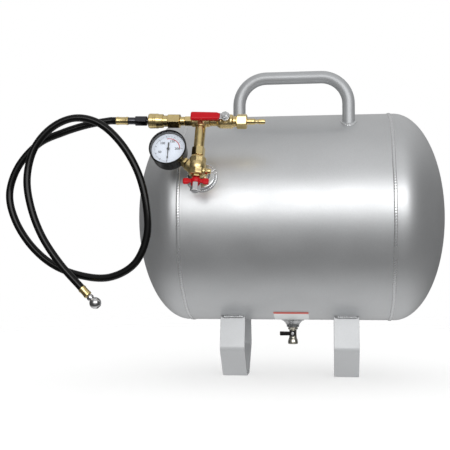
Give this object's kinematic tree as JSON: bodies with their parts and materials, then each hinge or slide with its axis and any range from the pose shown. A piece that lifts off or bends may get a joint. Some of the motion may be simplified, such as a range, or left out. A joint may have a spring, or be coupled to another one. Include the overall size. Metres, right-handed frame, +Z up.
{
  "type": "air receiver tank",
  "caption": "Horizontal steel air receiver with strap feet, tube handle, drain valve, and a brass manifold with gauge, shut-off and fill valves and a whip hose with a ball chuck.",
  "frame": {"origin": "on the floor, under the middle of the box that holds everything except the hose", "axes": "+X along the tank's axis towards the fill plug's end, +Y to the back, away from the manifold, +Z up"},
  "size_m": [0.6538, 0.3867, 0.4752],
  "materials": {
    "silver_paint": "silver enamel over welded steel",
    "brass": "machined and tumbled brass",
    "chrome": "bright plated steel",
    "zinc_steel": "zinc-plated steel",
    "red_vinyl": "dipped red vinyl",
    "black_plastic": "black enamel and moulded plastic",
    "hose_rubber": "smooth black rubber",
    "dial_white": "white printed dial",
    "clear_lens": "clear window"
  },
  "bodies": {
    "tank": {"tank_barrel": "silver_paint", "left_head": "silver_paint", "right_head": "silver_paint", "left_foot": "silver_paint", "right_foot": "silver_paint", "handle": "silver_paint", "port_flange": "zinc_steel", "tank_nipple": "brass", "manifold_body": "brass", "shutoff_bonnet": "brass", "relief_valve": "brass", "riser_nut": "brass", "riser_pipe": "brass", "run_tee": "brass", "coupler_nipple": "brass", "coupler_body": "brass", "coupler_seal": "hose_rubber", "hose_plug": "chrome", "hose_ferrule": "brass", "hose": "hose_rubber", "chuck_ferrule": "brass", "chuck": "chrome", "chuck_seal": "hose_rubber", "fill_valve_body": "brass", "fill_adapter": "brass", "fill_plug": "brass", "gauge_stem": "brass", "gauge_case": "black_plastic", "gauge_bezel": "black_plastic", "gauge_lens": "clear_lens", "gauge_dial": "dial_white", "gauge_movement": "brass", "drain_bung": "zinc_steel", "drain_valve_body": "zinc_steel"},
    "fill_lever": {"fill_valve_lever": "zinc_steel", "fill_valve_grip": "red_vinyl", "fill_valve_nut": "zinc_steel", "fill_valve_stem": "zinc_steel", "fill_valve_ball": "chrome"},
    "shutoff_handle": {"shutoff_wings": "red_vinyl", "shutoff_nut": "chrome", "shutoff_stem": "zinc_steel"},
    "drain_handle": {"drain_lever": "black_plastic", "drain_lever_screw": "chrome", "drain_valve_stem": "zinc_steel", "drain_valve_ball": "chrome"},
    "coupler_ring": {"coupler_sleeve": "brass"},
    "pointer": {"gauge_needle": "black_plastic"},
    "relief_pull": {"relief_pull_ring": "chrome"}
  },
  "joints": [
    {"name": "fill_valve_turn", "type": "hinge", "parent": "tank", "child": "fill_lever", "pos_m": [-0.08287, -0.15251, 0.38331], "axis": [0, 0.9511, -0.309], "range_deg": [0, 90]},
    {"name": "shutoff_turn", "type": "hinge", "parent": "tank", "child": "shutoff_handle", "pos_m": [-0.122, -0.17328, 0.31939], "axis": [0.0314, 0.3089, 0.9506], "range_deg": [0, 90]},
    {"name": "drain_turn", "type": "hinge", "parent": "tank", "child": "drain_handle", "pos_m": [0.0035, 0.02644, 0.0676], "axis": [0, -1, 0], "range_deg": [0, 90]},
    {"name": "coupler_slide", "type": "slide", "parent": "tank", "child": "coupler_ring", "axis": [0.9995, -0.0097, -0.0299], "range_m": [0, 0.006], "stiffness_N_per_m": 900},
    {"name": "needle_turn", "type": "hinge", "parent": "tank", "child": "pointer", "pos_m": [-0.16404, -0.1666, 0.33997], "axis": [0, 0.9511, -0.309], "range_deg": [0, 265], "stiffness_Nm_per_rad": 0.0004},
    {"name": "relief_slide", "type": "slide", "parent": "tank", "child": "relief_pull", "axis": [0.9995, -0.0097, -0.0299], "range_m": [0, 0.0025], "stiffness_N_per_m": 800}
  ]
}
